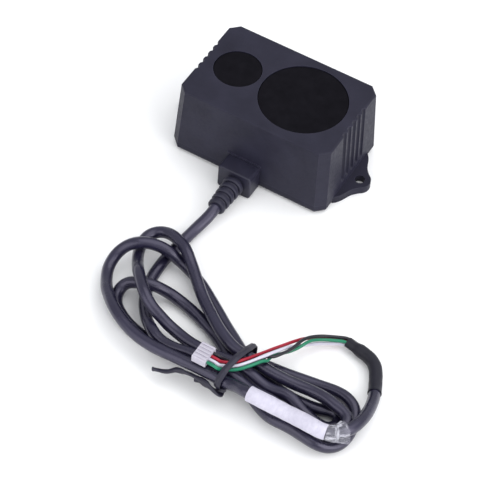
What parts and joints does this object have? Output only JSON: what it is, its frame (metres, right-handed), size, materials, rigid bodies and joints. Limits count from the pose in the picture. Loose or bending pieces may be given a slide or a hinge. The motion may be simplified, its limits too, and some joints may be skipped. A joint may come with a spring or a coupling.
{
  "type": "lidar ranging module",
  "caption": "Compact optical ranging module: rectangular housing with a large and a small round window, mounting ears, ribbed strain relief and a coiled lead with a plug.",
  "frame": {"origin": "centre of the rear mounting face, midway between the two ear holes", "axes": "+Z out through the optical windows, along the ear holes; +X along the housing's long side towards the large receiver window; the lead leaves on -Y"},
  "size_m": [0.1132, 0.118, 0.026],
  "materials": {
    "housing": "fine moulded texture, charcoal",
    "cover": "fine moulded texture, charcoal",
    "gasket": "silicone",
    "steel_screw": "zinc plated steel",
    "window": "polished infrared-pass acrylic",
    "seal": "adhesive foam ring",
    "barrel": "matt black, baffled",
    "lens": "coated optical glass",
    "filter": "narrow-band filter glass",
    "foam": "closed-cell foam",
    "chip": "moulded package",
    "crystal": "metal can",
    "ceramic_chip": "sintered ceramic body",
    "board": "green solder mask on glass fibre",
    "heat_spreader": "machined",
    "thermal_pad": "soft gap filler",
    "contact": "tin-plated brass",
    "header": "moulded",
    "boot": "moulded flexible PVC",
    "cable": "smooth PVC jacket",
    "sleeve": "heat-shrink tube",
    "tie": "plastic-coated wire tie",
    "label": "blank wrapped label",
    "film": "clear laminate film",
    "wire_red": "PVC insulation",
    "wire_black": "PVC insulation",
    "wire_green": "PVC insulation",
    "wire_white": "PVC insulation",
    "plug": "white nylon"
  },
  "bodies": {
    "housing": {"front_housing": "housing", "rear_cover": "cover", "cover_gasket": "gasket", "cover_screws": "steel_screw", "receiver_window": "window", "emitter_window": "window", "receiver_window_seal": "seal", "emitter_window_seal": "seal", "receiver_lens_barrel": "barrel", "receiver_lens": "lens", "receiver_lens_ring": "barrel", "bandpass_filter": "filter", "barrel_foam_gasket": "foam", "detector_chip": "chip", "emitter_lens_holder": "barrel", "emitter_lens": "lens", "emitter_lens_ring": "barrel", "emitter_board": "board", "emitter_diode": "contact", "emitter_heat_spreader": "heat_spreader", "thermal_pad": "thermal_pad", "header_body": "header", "header_pins": "contact", "optical_baffle": "barrel", "main_board": "board", "board_screws": "steel_screw", "processor_chip": "chip", "timing_chip": "chip", "regulator_chip": "chip", "power_inductor": "chip", "clock_crystal": "crystal", "capacitors": "ceramic_chip", "board_socket": "plug", "inner_plug": "plug", "cable_gland": "boot", "cable_entry_stub": "cable", "inner_lead_red": "wire_red", "inner_lead_black": "wire_black", "inner_lead_green": "wire_green", "inner_lead_white": "wire_white", "boot_rib_2": "boot"},
    "boot_link": {"boot_rib_3": "boot"},
    "lead": {"boot_rib_4": "boot", "boot_rib_5": "boot", "cable_jacket": "cable", "heat_shrink_sleeve": "sleeve", "cable_label": "label", "label_clear_film": "film", "wire_red": "wire_red", "wire_black": "wire_black", "wire_green": "wire_green", "wire_white": "wire_white", "twist_tie": "tie", "plug_housing": "plug", "plug_terminals": "contact"}
  },
  "joints": [
    {"name": "boot_yaw", "type": "hinge", "parent": "housing", "child": "boot_link", "pos_m": [-0.0003, -0.02941, 0.0046], "axis": [0, 0, 1], "range_deg": [-14, 14]},
    {"name": "boot_lift", "type": "hinge", "parent": "boot_link", "child": "lead", "pos_m": [-0.0003, -0.03179, 0.0046], "axis": [1, 0, 0], "range_deg": [-14, 14]}
  ]
}
